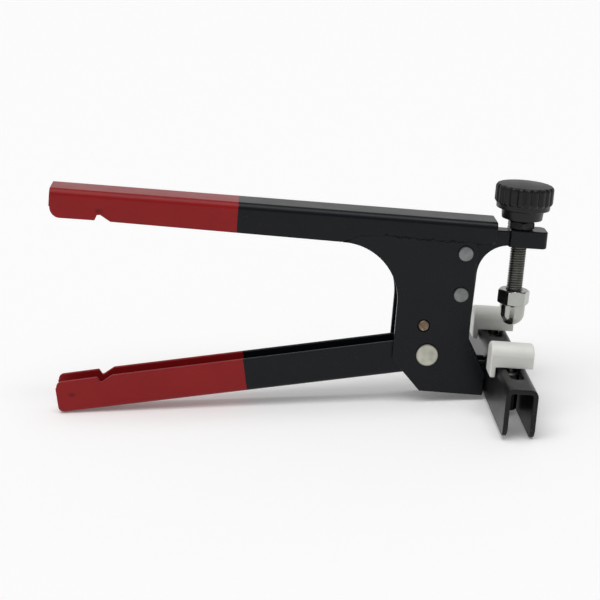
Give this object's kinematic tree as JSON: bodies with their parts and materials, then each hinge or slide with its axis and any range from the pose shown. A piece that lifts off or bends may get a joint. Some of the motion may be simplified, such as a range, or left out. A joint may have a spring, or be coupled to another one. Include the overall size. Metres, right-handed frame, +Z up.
{
  "type": "three-point bending pliers",
  "caption": "Hand pliers with a knob-turned screw over a slotted cross bar with sliding nylon pads; squeezing the handles raises the bar towards the screw.",
  "frame": {"origin": "centre of the bounding box at the surface the tool stands on", "axes": "+X from the handles to the jaw, +Y away from the viewer along the jaw bar, +Z up from the surface"},
  "size_m": [0.2538, 0.152, 0.1167],
  "materials": {
    "handle_paint": "glossy dipped red over the rear part, glossy black over the rest",
    "black_paint": "glossy black paint",
    "bar_paint": "satin black paint",
    "rivet_steel": "peened heads",
    "pivot_steel": "pale plated head",
    "copper_pin": "coppery peened end",
    "spring_steel": "bright wire",
    "zinc_steel": "zinc plated",
    "stud_zinc": "grey zinc plated thread",
    "polished_nickel": "polished",
    "black_oxide": "black oxide, satin",
    "nylon": "milky white nylon",
    "knob_plastic": "black moulded plastic, greyer satin top"
  },
  "bodies": {
    "frame": {"upper_handle": "handle_paint", "near_cheek": "black_paint", "far_cheek": "black_paint", "upper_arm": "black_paint", "upper_arm_rivet": "rivet_steel", "lower_arm_rivet": "rivet_steel", "near_upper_spacer": "zinc_steel", "far_upper_spacer": "zinc_steel", "near_lower_spacer": "zinc_steel", "far_lower_spacer": "zinc_steel", "handle_pivot_pin": "pivot_steel", "jaw_pivot_pin": "copper_pin", "return_spring": "spring_steel"},
    "handle": {"lower_handle": "handle_paint", "drive_pin": "zinc_steel"},
    "jaw": {"near_jaw_lever": "black_paint", "far_jaw_lever": "black_paint", "jaw_bar": "bar_paint"},
    "near_support": {"near_pad": "nylon", "near_pad_stud": "zinc_steel", "near_pad_washer": "zinc_steel", "near_pad_nut": "black_oxide"},
    "far_support": {"far_pad": "nylon", "far_pad_stud": "zinc_steel", "far_pad_washer": "zinc_steel", "far_pad_nut": "black_oxide"},
    "screw_travel": {"acorn_nut": "polished_nickel"},
    "screw": {"clamp_stud": "stud_zinc", "knob": "knob_plastic", "knob_insert": "zinc_steel"},
    "lock_nut": {"jam_nut": "black_oxide"}
  },
  "joints": [
    {"name": "jaw_swing", "type": "hinge", "parent": "frame", "child": "jaw", "pos_m": [0.05982, 0, 0.04016], "axis": [0, -1, 0], "range_deg": [0, 12]},
    {"name": "handle_squeeze", "type": "hinge", "parent": "frame", "child": "handle", "pos_m": [0.0612, 0, 0.02492], "axis": [0, 1, 0], "range_deg": [0, 13.6], "stiffness_Nm_per_rad": 0.8, "springref_deg": -28.65, "deforming": ["return_spring"]},
    {"name": "near_pad_slide", "type": "slide", "parent": "jaw", "child": "near_support", "axis": [0, 1, 0], "range_m": [-0.0205, 0.0145]},
    {"name": "far_pad_slide", "type": "slide", "parent": "jaw", "child": "far_support", "axis": [0, 1, 0], "range_m": [-0.0145, 0.0205]},
    {"name": "screw_feed", "type": "slide", "parent": "frame", "child": "screw_travel", "axis": [0.1055, 0, 0.9944], "range_m": [0, 0.022]},
    {"name": "knob_turn", "type": "hinge", "parent": "screw_travel", "child": "screw", "pos_m": [0.11022, 0, 0.08609], "axis": [0.1055, 0, 0.9944], "range_deg": [0, 6400]},
    {"name": "jam_nut_turn", "type": "hinge", "parent": "frame", "child": "lock_nut", "pos_m": [0.11025, 0, 0.08639], "axis": [0.1055, 0, 0.9944], "continuous": true}
  ],
  "couplings": [
    {"joint": "handle_squeeze", "follows": "jaw_swing", "ratio": 1.1262},
    {"joint": "knob_turn", "follows": "screw_feed", "rad_per_m": 5026.5}
  ]
}
